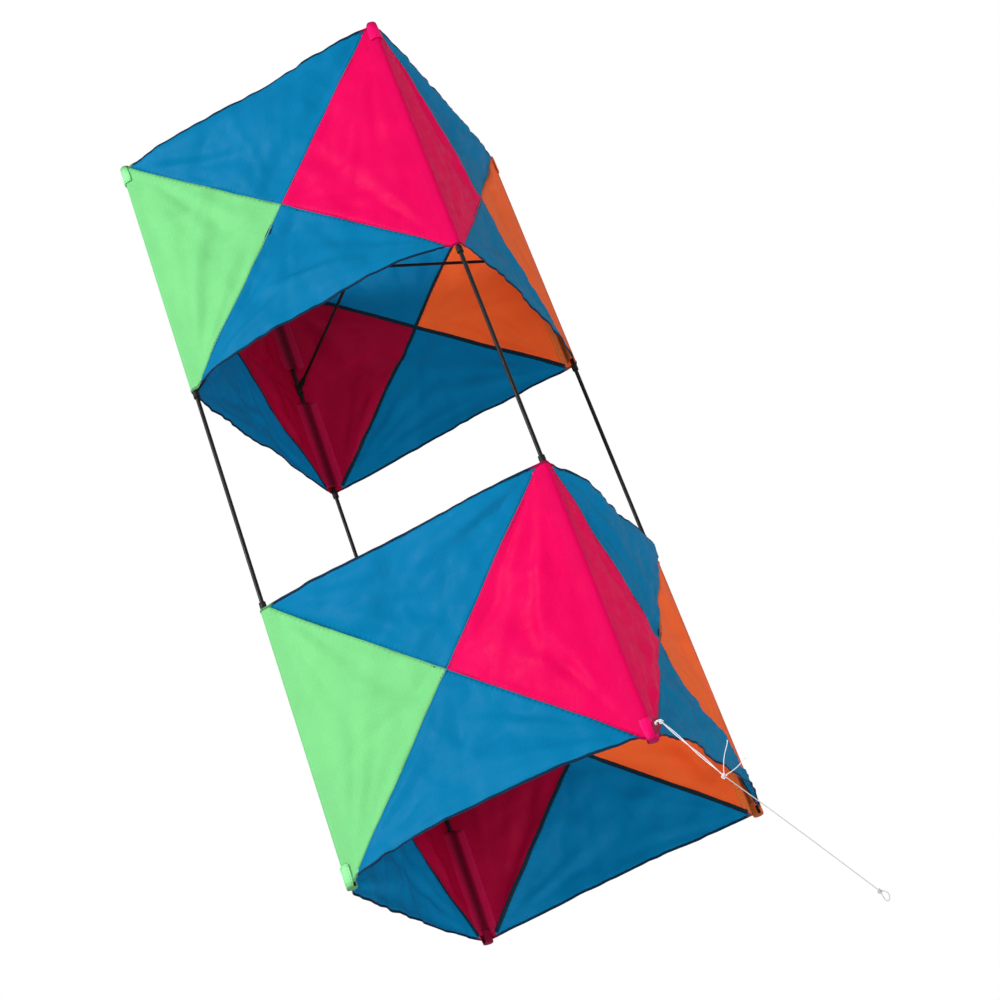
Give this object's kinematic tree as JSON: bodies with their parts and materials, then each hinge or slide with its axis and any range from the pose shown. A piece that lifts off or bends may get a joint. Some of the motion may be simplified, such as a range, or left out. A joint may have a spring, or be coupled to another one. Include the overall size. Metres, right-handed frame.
{
  "type": "box kite",
  "caption": "Two-cell box kite on four long spars, with crossed spreader rods in each square cell and a line tied at the foot of the front spar.",
  "frame": {"origin": "centre of the tow hole, in the tab in front of the front spar's foot", "axes": "+Z along the spars towards the top cell, -Y out of the front corner where the line is tied, +X to the right-hand corner seen from the front"},
  "size_m": [0.5352, 0.7971, 1.3038],
  "materials": {
    "sail_blue": "ripstop nylon, lightly glossy",
    "sail_green": "ripstop nylon, lightly glossy",
    "sail_pink": "ripstop nylon, lightly glossy",
    "sail_orange": "ripstop nylon, lightly glossy",
    "sail_crimson": "ripstop nylon, lightly glossy",
    "hem": "rolled and stitched edge",
    "webbing": "woven polyester tape",
    "vinyl": "soft black vinyl",
    "spar": "satin black fibre rod",
    "line": "braided white cord"
  },
  "bodies": {
    "kite_frame": {"right_spar": "spar", "back_spar": "spar", "left_spar": "spar", "front_spar": "spar", "foot_caps": "vinyl", "top_caps": "vinyl", "foot_pockets": "webbing", "top_pockets": "webbing", "lower_cell_bottom_hem": "hem", "lower_cell_top_hem": "hem", "lower_right_back_top_panel": "sail_blue", "lower_right_back_bottom_panel": "sail_blue", "lower_left_back_top_panel": "sail_blue", "lower_left_back_bottom_panel": "sail_blue", "lower_left_front_top_panel": "sail_blue", "lower_left_front_bottom_panel": "sail_blue", "lower_right_front_top_panel": "sail_blue", "lower_right_front_bottom_panel": "sail_blue", "lower_right_diamond": "sail_orange", "lower_back_diamond": "sail_crimson", "lower_left_diamond": "sail_green", "lower_front_diamond": "sail_pink", "lower_sleeve_stops": "vinyl", "upper_cell_bottom_hem": "hem", "upper_cell_top_hem": "hem", "upper_right_back_top_panel": "sail_blue", "upper_right_back_bottom_panel": "sail_blue", "upper_left_back_top_panel": "sail_blue", "upper_left_back_bottom_panel": "sail_blue", "upper_left_front_top_panel": "sail_blue", "upper_left_front_bottom_panel": "sail_blue", "upper_right_front_top_panel": "sail_blue", "upper_right_front_bottom_panel": "sail_blue", "upper_right_diamond": "sail_orange", "upper_back_diamond": "sail_crimson", "upper_left_diamond": "sail_green", "upper_front_diamond": "sail_pink", "upper_sleeve_stops": "vinyl", "right_sleeves": "sail_orange", "back_sleeves": "sail_crimson", "left_sleeves": "sail_green", "front_sleeves": "sail_pink", "tow_tab": "webbing", "tow_hitch": "line", "bridle_line": "line", "tow_knot": "line", "flying_line": "line", "line_end_loop": "line"},
    "lower_side_spreader": {"lower_side_fittings": "vinyl"},
    "lower_side_rod": {"lower_side_rod": "spar"},
    "lower_keel_spreader": {"lower_keel_fittings": "vinyl"},
    "lower_keel_rod": {"lower_keel_rod": "spar"},
    "upper_side_spreader": {"upper_side_fittings": "vinyl"},
    "upper_side_rod": {"upper_side_rod": "spar"},
    "upper_keel_spreader": {"upper_keel_fittings": "vinyl"},
    "upper_keel_rod": {"upper_keel_rod": "spar"}
  },
  "joints": [
    {"name": "lower_side_spreader_slide", "type": "slide", "parent": "kite_frame", "child": "lower_side_spreader", "axis": [0, 0, 1], "range_m": [0, 0.01]},
    {"name": "lower_side_rod_spin", "type": "hinge", "parent": "lower_side_spreader", "child": "lower_side_rod", "pos_m": [0, 0.27577, 0.1677], "axis": [1, 0, 0], "continuous": true},
    {"name": "lower_keel_spreader_slide", "type": "slide", "parent": "kite_frame", "child": "lower_keel_spreader", "axis": [0, 0, 1], "range_m": [-0.01, 0]},
    {"name": "lower_keel_rod_spin", "type": "hinge", "parent": "lower_keel_spreader", "child": "lower_keel_rod", "pos_m": [0, 0.27577, 0.1633], "axis": [0, 1, 0], "continuous": true},
    {"name": "upper_side_spreader_slide", "type": "slide", "parent": "kite_frame", "child": "upper_side_spreader", "axis": [0, 0, 1], "range_m": [0, 0.01]},
    {"name": "upper_side_rod_spin", "type": "hinge", "parent": "upper_side_spreader", "child": "upper_side_rod", "pos_m": [0, 0.27577, 0.8163], "axis": [1, 0, 0], "continuous": true},
    {"name": "upper_keel_spreader_slide", "type": "slide", "parent": "kite_frame", "child": "upper_keel_spreader", "axis": [0, 0, 1], "range_m": [-0.01, 0]},
    {"name": "upper_keel_rod_spin", "type": "hinge", "parent": "upper_keel_spreader", "child": "upper_keel_rod", "pos_m": [0, 0.27577, 0.8119], "axis": [0, 1, 0], "continuous": true}
  ]
}
